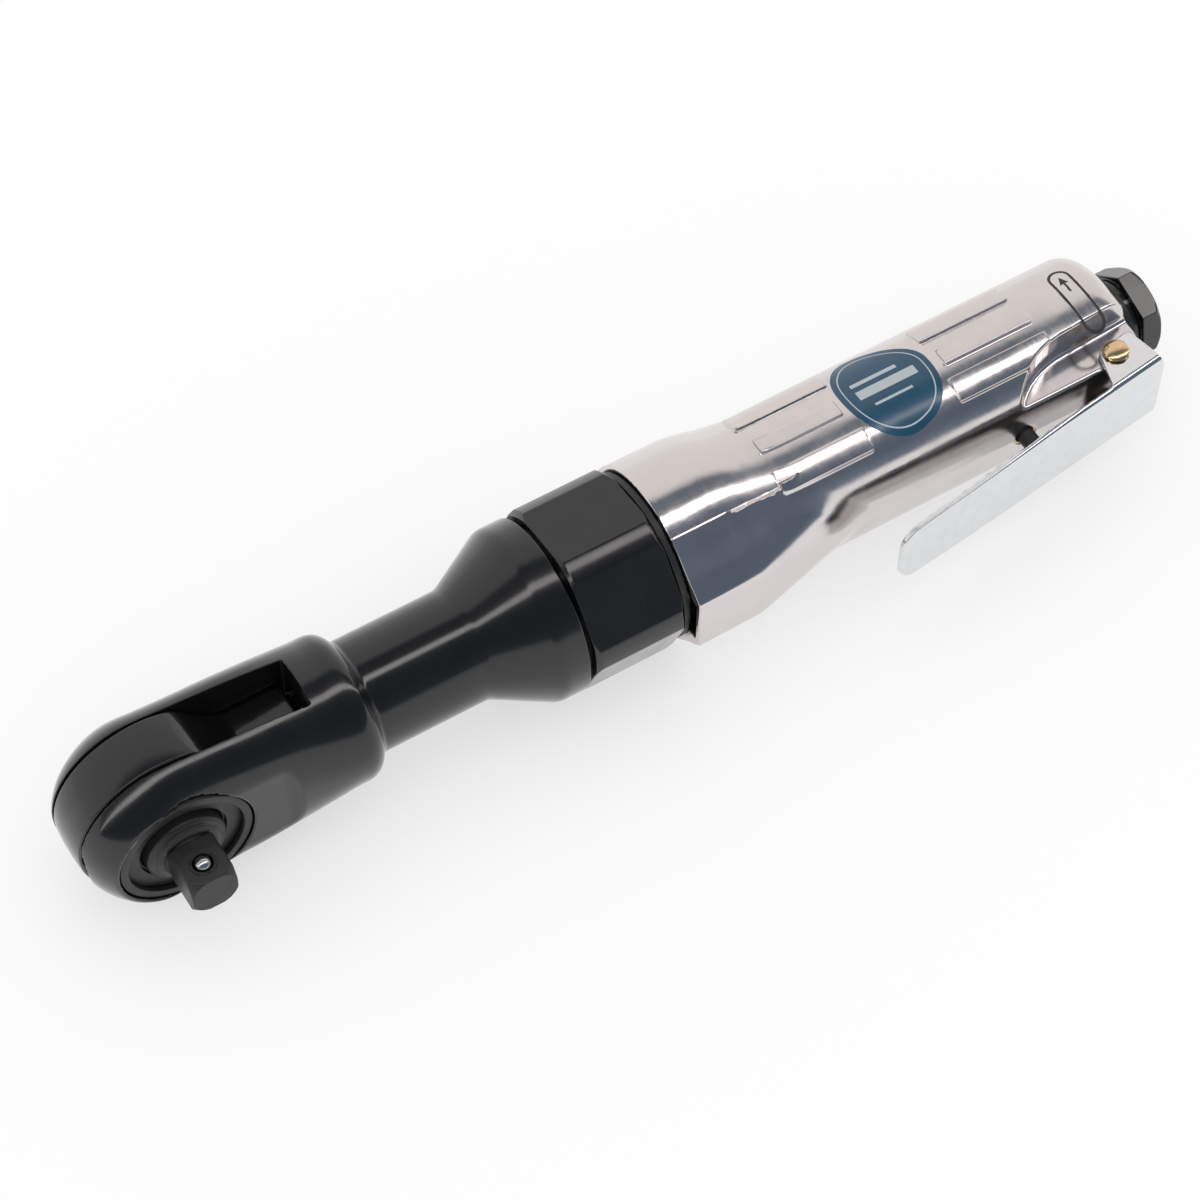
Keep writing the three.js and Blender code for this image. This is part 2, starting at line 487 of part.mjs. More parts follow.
function motorHousing() {
  const exhaust = block([HOUSING.front - 1, EXHAUST.end], [EXHAUST.deep, 0], [-EXHAUST.half, EXHAUST.half]);
  const motorBore = drum("x", HOUSING.boreR, HOUSING.front - 1, PLATE.rear[1] + 0.5);
  const airWays = joined(drum("x", 2.1, PLATE.rear[1] - 5, VALVE_X, TINY).translate([0, -7.6, 0]),
    drum("x", AIR_WAY_R, VALVE_X, INLET.barrelFrom, COARSE), drum("x", INLET.boreR, 204, HOUSING.rear + 1));
  const mouth = drum("x", HOUSING.mouthR, HOUSING.front - 1, HOUSING.mouthEnd);
  const steps = [
    [4.6, -5.2, BEYOND], [AIR_WAY_R, -9.8, 0], [STEM_R + 0.4, -BEYOND, 0], [3.7, -BEYOND, -10.4],
  ];
  const valveBores = steps.map(([r, from, to]) => onValve(drum("y", r, from, to, COARSE)));
  return cut(joined(skin(0), keel(), gripBars()), cheekPocket(1), cheekPocket(-1), exhaust, mouth, motorBore,
    airWays, ...valveBores, pinHole);
}

function label() {
  const outline = new THREE.Shape();
  outline.moveTo(...LABEL.start);
  LABEL.bends.forEach((bend) => outline.quadraticCurveTo(...bend));
  return cut(pushed("z", outline, 5, 25), skin(GAP)).intersect(skin(GAP + LABEL.thick));
}

add("motor_housing", motorHousing(), CAST_ALUMINIUM);
add("name_label", label(), BLUE_FILM);

// ---------------------------------------------------------------- throttle lever and valve
// one sheet folded into a blade under the grip and a cheek on each side of the housing's tongue
function throttleLever() {
  const length = (BLADE.rearX - BLADE.tipX) / Math.cos(THREE.MathUtils.degToRad(BLADE.slopeDeg));
  const [tipR, rearR] = [4.6, 2];
  const [tip, rear] = [BLADE.tipHalf, CHEEK.outer];
  const blade = new THREE.Shape();
  blade.moveTo(0, tipR - tip);
  blade.quadraticCurveTo(0, -tip, tipR, -tip);
  blade.lineTo(length - BLADE.flare, -rear);
  blade.lineTo(length - rearR, -rear);
  blade.quadraticCurveTo(length, -rear, length, rearR - rear);
  blade.lineTo(length, rear - rearR);
  blade.quadraticCurveTo(length, rear, length - rearR, rear);
  blade.lineTo(length - BLADE.flare, rear);
  blade.lineTo(tipR, tip);
  blade.quadraticCurveTo(0, tip, 0, tip - tipR);
  const plate = pushed("y", blade, 0, BLADE.thick).rotate([0, 0, BLADE.slopeDeg])
    .translate([BLADE.tipX, BLADE.tipY, 0]);
  const cheek = polygon([[209.4, -21.2], [212.2, -11.9], [212.9, -11.1], [220.3, -9.9], [221.2, -10.4],
    [222.9, -19.4]]);
  return cut(joined(plate, pushed("z", cheek, CHEEK.inner, CHEEK.outer),
    pushed("z", cheek, -CHEEK.outer, -CHEEK.inner)), pinHole);
}

function leverPin() {
  const [seat, headR, shankR] = [CHEEK.outer + GAP, 2.8, 1.5];
  const head = [[0, seat + 1.2], [1.7, seat + 0.9], [headR, seat + 0.3], [headR, seat], [shankR, seat]];
  const mirrored = head.map(([r, z]) => [r, -z]).reverse();
  return onPin(revolved("z", [...head, ...mirrored], COARSE));
}

add("throttle_lever", throttleLever(), CHROME);
add("lever_pin", leverPin(), BRASS);
add("valve_stem", onValve(drum("y", STEM_R, -21.9, -3.7, COARSE)), DARK_STEEL);
add("throttle_valve", onValve(joined(drum("y", 3.9, -3.4, -1.6, COARSE), drum("y", 1.5, -2, 0.6, TINY))),
  BRASS);
add("valve_seat", onValve(ring("y", STEM_R + GAP, 4.2, -4.9, -3.75, COARSE)), BLACK_RUBBER);
add("valve_spring", onValve(ring("y", 1.9, 3.0, -1.3, 9, COARSE)), BRIGHT_STEEL);
add("valve_plug", onValve(cut(drum("y", 4.2, 9.3, 15.2, COARSE), block([-3, 3], [14.2, 16], [-0.6, 0.6]))),
  DARK_STEEL);
add("valve_bush", onValve(ring("y", STEM_R + GAP, 3.4, -15.5, -10.8, COARSE)), BRASS);

// ---------------------------------------------------------------- air inlet
function inletBushing() {
  const [hexFrom, hexTo] = INLET.hexX;
  const cornerR = INLET.hexAcross / Math.sqrt(3);
  const chamfered = revolved("x", [[0, hexFrom], [cornerR, hexFrom], [cornerR, hexTo - 1.2],
    [INLET.faceR, hexTo], [0, hexTo]]);
  const hex = pushed("x", hexagon(INLET.hexAcross, INLET.cornersDeg), hexFrom, hexTo).intersect(chamfered);
  const barrel = drum("x", INLET.boreR - GAP, INLET.barrelFrom, INLET.sealEnd + 1);
  const neck = drum("x", INLET.neckR, INLET.sealEnd + GAP, hexFrom + 1);
  return cut(joined(hex, neck, barrel), drum("x", INLET.socketR, INLET.socketFrom, hexTo + 1, 20),
    drum("x", INLET.passageR, INLET.barrelFrom - 1, INLET.socketFrom + 1, COARSE));
}

add("inlet_bushing", inletBushing(), BLACK_STEEL);
add("inlet_seal", ring("x", INLET.boreR, INLET.sealR, HOUSING.rear + GAP, INLET.sealEnd), BLACK_RUBBER);
add("inlet_screen", drum("x", 6.4, 206.2, 207.2, COARSE), BRASS);

export default tool;
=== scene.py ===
"""The looks of an air ratchet with a 3/8 inch square drive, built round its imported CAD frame.

Most pieces are the surface of a distance field: a function of x, y and z that is negative inside the
piece. Fields are in millimetres in the tool's own frame, where x runs from the drive axis to the air
inlet, y from the tool's axis away from the square, and z is up.
"""
import json
import math

import bmesh
import bpy
import numpy as np
from mathutils import Matrix, Vector


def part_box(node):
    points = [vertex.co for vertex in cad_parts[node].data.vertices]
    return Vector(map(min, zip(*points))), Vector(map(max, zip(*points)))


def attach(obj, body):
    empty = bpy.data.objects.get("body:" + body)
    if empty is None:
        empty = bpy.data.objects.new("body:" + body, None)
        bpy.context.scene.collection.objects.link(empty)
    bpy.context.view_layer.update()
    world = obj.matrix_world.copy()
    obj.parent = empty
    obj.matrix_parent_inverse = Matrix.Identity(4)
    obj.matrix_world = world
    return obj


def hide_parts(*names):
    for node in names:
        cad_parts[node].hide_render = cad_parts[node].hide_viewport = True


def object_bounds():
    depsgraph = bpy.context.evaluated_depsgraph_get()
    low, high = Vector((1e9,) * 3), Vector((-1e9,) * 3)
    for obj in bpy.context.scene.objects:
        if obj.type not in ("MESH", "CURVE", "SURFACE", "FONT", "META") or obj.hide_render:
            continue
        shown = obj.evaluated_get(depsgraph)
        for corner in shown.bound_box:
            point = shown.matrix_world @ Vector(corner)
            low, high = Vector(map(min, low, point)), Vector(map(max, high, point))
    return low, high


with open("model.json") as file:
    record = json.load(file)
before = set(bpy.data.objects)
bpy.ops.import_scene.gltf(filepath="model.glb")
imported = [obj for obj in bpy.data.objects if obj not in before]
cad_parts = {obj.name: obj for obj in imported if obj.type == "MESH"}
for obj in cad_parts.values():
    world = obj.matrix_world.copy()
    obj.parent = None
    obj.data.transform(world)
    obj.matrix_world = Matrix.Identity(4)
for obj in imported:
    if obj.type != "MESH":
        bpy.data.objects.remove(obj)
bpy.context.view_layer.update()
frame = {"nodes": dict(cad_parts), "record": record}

MM = 0.001
AXIS_Y = sum(corner.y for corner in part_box("rotor")) / 2      # the tool's axis, in metres
STEP_SCALE = 1.0


def span(node):
    """A CAD node's reach along x, y and z in the tool's frame, in millimetres."""
    low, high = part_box(node)
    shift = (0, AXIS_Y, 0)
    return [((low[k] - shift[k]) / MM, (high[k] - shift[k]) / MM) for k in range(3)]


# ---------------------------------------------------------------- driving dimensions, from the frame
HEAD_R = 0.4 - span("ratchet_housing")[0][0]                   # the slot cuts away the furthest point
SPIGOT_END = span("ratchet_housing")[0][1]
FLANGE_R = span("ratchet_housing")[1][1]
SQUARE_END = span("drive_anvil")[1][0]
KNOB_TOP = span("reverse_knob")[1][1]
NUT_X = (span("clamp_nut")[0][0], span("mouth_seal")[0][0] - 0.3)
HOUSING_X = span("motor_housing")[0]
KEEL_FACE = -span("motor_housing")[1][0]
BALL = span("detent_ball")
LEVER = span("throttle_lever")
PIN = [sum(reach) / 2 for reach in span("lever_pin")]
VALVE_X = sum(span("valve_stem")[0]) / 2
HEX_X = (span("inlet_seal")[0][1] + 2.1, span("inlet_bushing")[0][1])

# ---------------------------------------------------------------- distance fields
hyp = np.hypot


def both(a, b, edge=0.0):
    """Inside a and b; edge is the radius of the round edge where they meet."""
    sharp = np.maximum(a, b)
    if np.ndim(edge) == 0 and edge == 0:
        return sharp
    return np.minimum(-edge, sharp) + hyp(np.maximum(a + edge, 0), np.maximum(b + edge, 0))


def either(a, b, fillet=0.0):
    return -both(-a, -b, fillet)


def cut(a, b, edge=0.0):
    return both(a, -b, edge)


def between(t, low, high):
    return np.maximum(low - t, t - high)


def box(x, y, z, xs, ys, zs, edge=0.0):
    return both(both(between(x, *xs), between(y, *ys), edge), between(z, *zs), edge)


def drum(radial, r, along, reach, edge=0.0):
    return both(radial - r, between(along, *reach), edge)


def cone(radial, along, first, second):
    """Distance outside the cone through two (radius, place along the axis) points."""
    (r0, a0), (r1, a1) = first, second
    length = math.hypot(r1 - r0, a1 - a0)
    return ((radial - r0) * (a1 - a0) - (along - a0) * (r1 - r0)) / length


def oval(u, v, half_u, half_v, power):
    """Distance outside a superellipse, to first order: power 2 is an ellipse, and more is squarer."""
    a, b = np.abs(u) / half_u, np.abs(v) / half_v
    total = np.maximum(a ** power + b ** power, 1e-4)
    slope = total ** (1 / power - 1) * hyp(a ** (power - 1) / half_u, b ** (power - 1) / half_v)
    return (total ** (1 / power) - 1) / np.maximum(slope, 1e-3)


def grooves(along, pitch, depth):
    """The height of the ridges between V grooves, which stand in for a thread."""
    return depth * np.abs(2 * ((along / pitch) % 1) - 1)


def eased(x, knots, values):
    """A smooth curve through values at knots, level beyond its ends."""
    knots, values = np.array(knots, float), np.array(values, float)
    slopes = np.gradient(values, knots)
    slopes[[0, -1]] = 0
    i = np.clip(np.searchsorted(knots, x) - 1, 0, len(knots) - 2)
    width = knots[i + 1] - knots[i]
    t = np.clip((x - knots[i]) / width, 0, 1)
    rise = values[i + 1] - values[i]
    return (values[i] + t * width * slopes[i] + t * t * (3 * rise - width * (2 * slopes[i] + slopes[i + 1]))
            + t ** 3 * (width * (slopes[i] + slopes[i + 1]) - 2 * rise))


def outline(u, v, points):
    """Distance outside a closed outline of straight sides."""
    nearest, inside = np.inf, False
    for (u0, v0), (u1, v1) in zip(points, points[1:] + points[:1]):
        du, dv = u1 - u0, v1 - v0
        pu, pv = u - u0, v - v0
        t = np.clip((pu * du + pv * dv) / (du * du + dv * dv), 0, 1)
        nearest = np.minimum(nearest, (pu - du * t) ** 2 + (pv - dv * t) ** 2)
        above, below, left = v >= v0, v < v1, du * pv > dv * pu
        inside = inside ^ ((above & below & left) | ~(above | below | left))
    return np.where(inside, -1, 1) * np.sqrt(nearest)


def curve(start, handle, end, count=8):
    """Points along a quadratic curve, without its end."""
    return [tuple((1 - t) ** 2 * a + 2 * t * (1 - t) * b + t * t * c for a, b, c in zip(start, handle, end))
            for t in (k / count for k in range(count))]


# ---------------------------------------------------------------- meshes from fields
def net(field, reach, step):
    """One vertex in each grid cell that the surface passes through, and one quad across each grid edge."""
    axes = [np.arange(low - 2 * step, high + 3 * step, step) for low, high in reach]
    grid = np.ix_(*axes)
    values = np.ascontiguousarray(np.broadcast_to(field(*grid), [len(a) for a in axes]), dtype=np.float32)
    inside, flat_values = values < 0, values.ravel()
    strides = np.array([values.shape[1] * values.shape[2], values.shape[2], 1])
    quads, places = [], []
    for axis in range(3):
        near, far = [slice(None)] * 3, [slice(None)] * 3
        near[axis], far[axis] = slice(None, -1), slice(1, None)
        base = np.argwhere(inside[tuple(near)] != inside[tuple(far)])
        flat = base @ strides
        first, second = flat_values[flat], flat_values[flat + strides[axis]]
        place = base.astype(float)
        place[:, axis] += first / (first - second)
        u, v = [strides[k] for k in range(3) if k != axis]
        cells = np.stack([flat, flat - u, flat - u - v, flat - v], 1)
        turned_over = (first < 0) == (axis == 1)
        cells[turned_over] = cells[turned_over, ::-1]
        quads.append(cells)
        places.append(np.repeat(place, 4, axis=0))
    quads, places = np.concatenate(quads), np.concatenate(places)
    _, corner = np.unique(quads.ravel(), return_inverse=True)
    corner = corner.ravel()
    count = np.bincount(corner)
    points = np.stack([np.bincount(corner, places[:, k]) / count for k in range(3)], 1)
    return points * step + np.array([a[0] for a in axes]), corner.reshape(-1, 4)


def slope_at(field, points, reach=0.03):
    """The field's gradient at points."""
    columns = []
    for k in range(3):
        shift = np.zeros(3)
        shift[k] = reach
        columns.append((field(*(points + shift).T) - field(*(points - shift).T)) / (2 * reach))
    return np.stack(columns, 1)


def settled(field, points, quads, step, rounds=3):
    """Points spread evenly and moved onto the surface."""
    start, end = quads.ravel(), np.roll(quads, -1, axis=1).ravel()
    count = np.bincount(start)[:, None]
    for _ in range(rounds):
        mean = np.stack([np.bincount(start, points[end, k]) for k in range(3)], 1) / count
        points = 0.5 * (points + mean)
        for _ in range(2):
            slope = slope_at(field, points)
            size = np.maximum((slope ** 2).sum(1), 0.05)
            move = -(field(*points.T) / size)[:, None] * slope
            length = np.linalg.norm(move, axis=1)[:, None]
            points = points + move * np.minimum(1, 0.5 * step / np.maximum(length, 1e-9))
    return points


def place(points):
    """From millimetres in the tool's frame to metres in the row frame."""
    return points * MM + np.array([0, AXIS_Y, 0])


def grown(name, field, reach, step):
    """A piece whose skin is the surface of a field, with the field's own normals."""
    step *= STEP_SCALE
    points, quads = net(field, reach, step)
    points = settled(field, points, quads, step)
    mesh = bpy.data.meshes.new(name)
    mesh.vertices.add(len(points))
    mesh.vertices.foreach_set("co", place(points).astype(np.float32).ravel())
    mesh.loops.add(quads.size)
    mesh.loops.foreach_set("vertex_index", quads.astype(np.int32).ravel())
    mesh.polygons.add(len(quads))
    mesh.polygons.foreach_set("loop_start", np.arange(0, quads.size, 4, dtype=np.int32))
    mesh.update(calc_edges=True)
    mesh.validate()
    normals = slope_at(field, points)
    normals /= np.maximum(np.linalg.norm(normals, axis=1), 1e-9)[:, None]
    mesh.polygons.foreach_set("use_smooth", np.ones(len(mesh.polygons), bool))
    mesh.normals_split_custom_set_from_vertices(normals.astype(np.float32))
    return linked(name, mesh)


def linked(name, mesh):
    piece = bpy.data.objects.new(name, mesh)
    bpy.context.scene.collection.objects.link(piece)
    return piece


def softened(profile, radius, steps=3):
    """A closed outline whose corners off the axis are rounded."""
    soft = []
    for before, corner, after in zip(profile[-1:] + profile[:-1], profile, profile[1:] + profile[:1]):
        corner, before, after = Vector(corner), Vector(before), Vector(after)
        if corner.x < 1e-6:
            soft.append(corner)
            continue
        reach = min(radius, (before - corner).length * 0.45, (after - corner).length * 0.45)
        start, end = (corner + (p - corner).normalized() * reach for p in (before, after))
        for t in (k / steps for k in range(steps + 1)):
            soft.append(start * (1 - t) ** 2 + corner * 2 * t * (1 - t) + end * t * t)
    return soft


def turned(name, axis, centre, profile, radius=0.15, facets=96):
    """A lathe-turned piece: profile is a closed list of (radius, place along the axis), in millimetres."""
    soft = softened(profile, radius)
    rings = [[(p.x * math.cos(a), p.x * math.sin(a), p.y) for p in soft]
             for a in (2 * math.pi * k / facets for k in range(facets))]
    points = np.array(rings).reshape(-1, 3)
    points = points[:, {"x": [2, 0, 1], "y": [1, 2, 0], "z": [0, 1, 2]}[axis]] + np.array(centre)
    count = len(soft)
    faces = [(k * count + i, k * count + (i + 1) % count, (k + 1) % facets * count + (i + 1) % count,
              (k + 1) % facets * count + i) for k in range(facets) for i in range(count)]
    mesh = bpy.data.meshes.new(name)
    mesh.from_pydata(place(points).tolist(), [], faces)
    clean(mesh)
    return linked(name, mesh)


def clean(mesh, sharp_deg=38):
    """Merges doubled points, drops faces with no area, turns faces outwards and shades them smooth."""
    shape = bmesh.new()
    shape.from_mesh(mesh)
    bmesh.ops.remove_doubles(shape, verts=shape.verts, dist=1e-7)
    bmesh.ops.dissolve_degenerate(shape, edges=shape.edges, dist=1e-7)
    bmesh.ops.recalc_face_normals(shape, faces=shape.faces)
    shape.to_mesh(mesh)
    shape.free()
    mesh.polygons.foreach_set("use_smooth", np.ones(len(mesh.polygons), bool))
    mesh.set_sharp_from_angle(angle=math.radians(sharp_deg))


# ---------------------------------------------------------------- materials
class Finish:
    """A procedural material: a Principled shader fed by noise laid out in millimetres on the tool."""

    def __init__(self, name, colour, roughness, metallic=0.0, **sockets):
        self.material = bpy.data.materials.new(name)
        self.material.use_nodes = True
        self.tree = self.material.node_tree
        self.shader = self.tree.nodes["Principled BSDF"]
        self.shader.inputs["Base Color"].default_value = (*colour, 1)
        self.shader.inputs["Roughness"].default_value = roughness
        self.shader.inputs["Metallic"].default_value = metallic
        for socket, value in sockets.items():
            self.shader.inputs[socket.replace("_", " ")].default_value = value
        self.spot = self.tree.nodes.new("ShaderNodeTexCoord").outputs["Object"]

    def node(self, kind, *inputs, **settings):
        made = self.tree.nodes.new(kind)
        for key, value in settings.items():
            setattr(made, key, value)
        for socket, value in zip(made.inputs, inputs):
            if isinstance(value, bpy.types.NodeSocket):
                self.tree.links.new(value, socket)
            elif value is not None:
                socket.default_value = value
        return made

    def math(self, operation, *inputs):
        return self.node("ShaderNodeMath", *inputs, operation=operation).outputs[0]

    def noise(self, per_mm, detail=3.0, roughness=0.55, shift=0.0):
        """Noise from 0 to 1; per_mm is how many spots fit in a millimetre along x, y and z."""
        scale = [n / MM for n in (per_mm if hasattr(per_mm, "__len__") else [per_mm] * 3)]
        mapped = self.node("ShaderNodeMapping", self.spot, (shift,) * 3, (0, 0, 0), scale).outputs[0]
        made = self.node("ShaderNodeTexNoise")
        self.tree.links.new(mapped, made.inputs["Vector"])
        made.inputs["Scale"].default_value = 1.0
        made.inputs["Detail"].default_value = detail
        made.inputs["Roughness"].default_value = roughness
        return made.outputs["Fac"]

    def scaled(self, value, low, high, to_low, to_high):
        return self.node("ShaderNodeMapRange", value, low, high, to_low, to_high).outputs[0]

    def mixed(self, fac, first, second):
        made = self.node("ShaderNodeMix", data_type="RGBA")
        for socket, value in zip([made.inputs[0], made.inputs[6], made.inputs[7]], [fac, first, second]):
            if isinstance(value, bpy.types.NodeSocket):
                self.tree.links.new(value, socket)
            else:
                socket.default_value = value if not hasattr(value, "__len__") else (*value, 1)[:4]
        return made.outputs[2]

    def drive(self, socket, value):
        self.tree.links.new(value, self.shader.inputs[socket])

    def bump(self, *layers):
        """Each layer is (height from 0 to 1, depth in millimetres)."""
        normal = None
        for height, depth in layers:
            made = self.node("ShaderNodeBump")
            made.inputs["Strength"].default_value = 1.0
            made.inputs["Distance"].default_value = depth * MM
            self.tree.links.new(height, made.inputs["Height"])
            if normal is not None:
                self.tree.links.new(normal, made.inputs["Normal"])
            normal = made.outputs["Normal"]
        self.drive("Normal", normal)


def black_oxide(name="black_oxide"):
    """Polished black steel: turned rings along x, faint haze and fine dust."""
    made = Finish(name, (0.005, 0.005, 0.0055), 0.2, Specular_IOR_Level=0.35, Coat_Weight=0.5,
                  Coat_Roughness=0.05)
    rings = made.noise((3.2, 0.05, 0.05), 4)
    haze = made.noise(0.12, 3)
    made.drive("Roughness", made.scaled(made.math("ADD", rings, haze), 0.7, 1.3, 0.12, 0.24))
    made.drive("Base Color", made.mixed(haze, (0.004, 0.004, 0.0045), (0.008, 0.0078, 0.0078)))
    made.bump((rings, 0.0018), (made.noise(0.35, 2), 0.012))
    return made.material


def dark_steel(name="dark_steel", colour=(0.035, 0.034, 0.034)):
    """Phosphated steel with fine milling lines."""
    made = Finish(name, colour, 0.42, 0.55)
    lines = made.noise((0.25, 6.0, 0.25), 2)
    blotch = made.noise(0.5, 3)
    made.drive("Roughness", made.scaled(blotch, 0.3, 0.7, 0.34, 0.5))
    made.drive("Base Color", made.mixed(blotch, [c * 0.8 for c in colour], [c * 1.3 for c in colour]))
    made.bump((lines, 0.006), (made.noise(2.0, 2), 0.002))
    return made.material


def bright_steel(name="bright_steel"):
    made = Finish(name, (0.56, 0.57, 0.58), 0.22, 1.0)
    lines = made.noise((4.0, 0.1, 0.1), 3)
    made.drive("Roughness", made.scaled(made.noise(0.8, 3), 0.3, 0.7, 0.16, 0.3))
    made.drive("Base Color", made.mixed(lines, (0.5, 0.51, 0.52), (0.62, 0.63, 0.64)))
    made.bump((lines, 0.001))
    return made.material


def polished_casting(name="polished_casting"):
    """Hand-polished cast aluminium: fine scratches round the tool, cloudy patches and a few pits."""
    made = Finish(name, (0.7, 0.66, 0.65), 0.16, 1.0)
    scratches = made.noise((5.0, 0.12, 0.12), 5, 0.7)
    long_marks = made.noise((0.1, 3.0, 3.0), 3, 0.6, 4.0)
    cloud = made.noise(0.09, 4)
    pits = made.scaled(made.noise(1.6, 2), 0.74, 0.8, 0, 1)
    made.drive("Roughness", made.scaled(made.math("ADD", cloud, scratches), 0.75, 1.3, 0.1, 0.26))
    made.drive("Base Color", made.mixed(cloud, (0.74, 0.695, 0.68), (0.64, 0.61, 0.605)))
    made.bump((scratches, 0.0016), (long_marks, 0.001), (made.noise(0.16, 2), 0.05), (pits, 0.01))
    return made.material


def plain_casting(name="plain_casting"):
    made = Finish(name, (0.55, 0.54, 0.53), 0.45, 1.0)
    grain = made.noise(3.0, 3)
    made.drive("Roughness", made.scaled(grain, 0.3, 0.7, 0.38, 0.55))
    made.bump((grain, 0.01))
    return made.material


def chrome(name="chrome"):
    """Chromed sheet: bright, faintly wavy, with a few rubbed patches."""
    made = Finish(name, (0.86, 0.87, 0.88), 0.07, 1.0)
    rub = made.noise((0.15, 0.15, 0.5), 4)
    made.drive("Roughness", made.scaled(rub, 0.35, 0.75, 0.045, 0.16))
    made.drive("Base Color", made.mixed(made.noise(0.4, 3), (0.8, 0.81, 0.82), (0.7, 0.71, 0.72)))
    made.bump((made.noise(0.12, 1), 0.03), (made.noise((0.3, 0.3, 4.0), 3), 0.0008))
    return made.material


def brass(name="brass"):
    made = Finish(name, (0.78, 0.57, 0.33), 0.14, 1.0)
    tarnish = made.noise(0.7, 3)
    made.drive("Roughness", made.scaled(tarnish, 0.3, 0.7, 0.1, 0.24))
    made.drive("Base Color", made.mixed(tarnish, (0.84, 0.62, 0.36), (0.66, 0.46, 0.26)))
    made.bump((made.noise(2.0, 2), 0.001))
    return made.material


def rubber(name="rubber"):
    made = Finish(name, (0.012, 0.012, 0.012), 0.5)
    grain = made.noise(2.5, 3)
    made.drive("Roughness", made.scaled(grain, 0.3, 0.7, 0.34, 0.6))
    made.drive("Base Color", made.mixed(grain, (0.008, 0.008, 0.008), (0.02, 0.02, 0.02)))
    made.bump((grain, 0.01))
    return made.material


def phenolic(name="phenolic"):
    made = Finish(name, (0.15, 0.06, 0.025), 0.6)
    weave = made.math("MULTIPLY", made.noise((1.5, 1.5, 8), 2), made.noise((8, 1.5, 1.5), 2))
    made.drive("Base Color", made.mixed(weave, (0.1, 0.04, 0.015), (0.3, 0.13, 0.05)))
    made.bump((weave, 0.02))
    return made.material


# each bar's middle and half size
LABEL_BARS = [((166.0, 3.4), (5.5, 0.45)), ((167.5, 0.6), (7.0, 1.1)), ((167.0, -2.8), (4.5, 0.3))]
PRINT_COLOUR = (0.42, 0.47, 0.5)


def label_film(name="label_film"):
    """Printed film: deep blue, with plain ruled bars in place of any print."""
    made = Finish(name, (0.004, 0.055, 0.11), 0.3, Coat_Weight=0.4, Coat_Roughness=0.12)
    x, y, _ = made.node("ShaderNodeSeparateXYZ", made.spot).outputs
    printed = 0.0
    for (bar_x, bar_y), (half_x, half_y) in LABEL_BARS:
        along = made.math("COMPARE", x, bar_x * MM, half_x * MM)
        across = made.math("COMPARE", y, bar_y * MM + AXIS_Y, half_y * MM)
        printed = made.math("ADD", printed, made.math("MULTIPLY", along, across))
    fade = made.noise(0.25, 2)
    film = made.mixed(fade, (0.003, 0.045, 0.095), (0.006, 0.068, 0.13))
    made.drive("Base Color", made.mixed(printed, film, PRINT_COLOUR))
    made.bump((made.noise(1.2, 2), 0.002))
    return made.material


def plain_paint(name, colour, roughness):
    made = Finish(name, colour, roughness)
    mottle = made.noise(1.5, 2)
    made.drive("Base Color", made.mixed(mottle, [c * 0.85 for c in colour], [c * 1.15 for c in colour]))
    return made.material


BLACK = black_oxide()
STEEL = dark_steel()
BRIGHT = bright_steel()
CASTING = polished_casting()
INNER_CASTING = plain_casting()
CHROME = chrome()
BRASS = brass()
RUBBER = rubber()
PHENOLIC = phenolic()
FILM = label_film()
PRINT = plain_paint("label_print", PRINT_COLOUR, 0.35)
INK = plain_paint("engraving_ink", (0.02, 0.02, 0.022), 0.5)

# each record slot's finish, for the CAD nodes that stay
SLOT_FINISH = {"black_steel": BLACK, "dark_steel": STEEL, "bright_steel": BRIGHT,
               "cast_aluminium": INNER_CASTING, "chrome": CHROME, "brass": BRASS, "rubber": RUBBER,
               "phenolic": PHENOLIC, "label_film": FILM}
NODE_SLOT = {part["node"]: part["material_slot"] for part in frame["record"]["subparts"]}
NODE_BODY = {node: body for body, nodes in frame["record"]["behaviour"]["bodies"].items() for node in nodes}


def dress(piece, node, finish=None, replace=True):
    """Gives a new piece the body and slot of the CAD node it stands for or belongs to."""
    slot = NODE_SLOT[node]
    piece.data.materials.clear()
    piece.data.materials.append(finish or SLOT_FINISH[slot])
    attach(piece, NODE_BODY[node])
    if replace:
        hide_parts(node)
    return piece


# ---------------------------------------------------------------- ratchet head
EAR_FACE = 13.3
SLOT = {"half": 5.85, "rear": 31.6}
RECESS = {"r": 14.3, "floor": -9.3}
SHOULDER_END = 43.2
NECK_R = 12.0
CONE_X = (67.5, 80.2)
FLANGE_X = 86.0
HEAD = {"x": [-8, 1, 9, 17, 25, 33, 37], "half_y": [17.85, 14.9, 14.4, 14.6, 14.9, 15.5, 15.6],
        "half_z": [HEAD_R, 19.2, 18.5, 17.8, 17.0, 16.0, 15.6],
        "power": [2.5, 2.8, 2.8, 2.7, 2.45, 2.1, 2.0]}
FAR_CHAMFER = {"lean": math.radians(30.6), "reach": 17.5}      # the far ear is planed off round its rim
HOLLOW = {"y": 8.15, "z": -2.4, "r": 15.7, "rear": -12}        # a crescent in the near ear's nose
ANVIL_BORES = [(12.6, (-15, 0)), (9.8, (-1, 20)), (11.2, (11.5, 20))]
CRANK_BORES = [(6.6, (30, 50)), (9.3, (44, 102))]


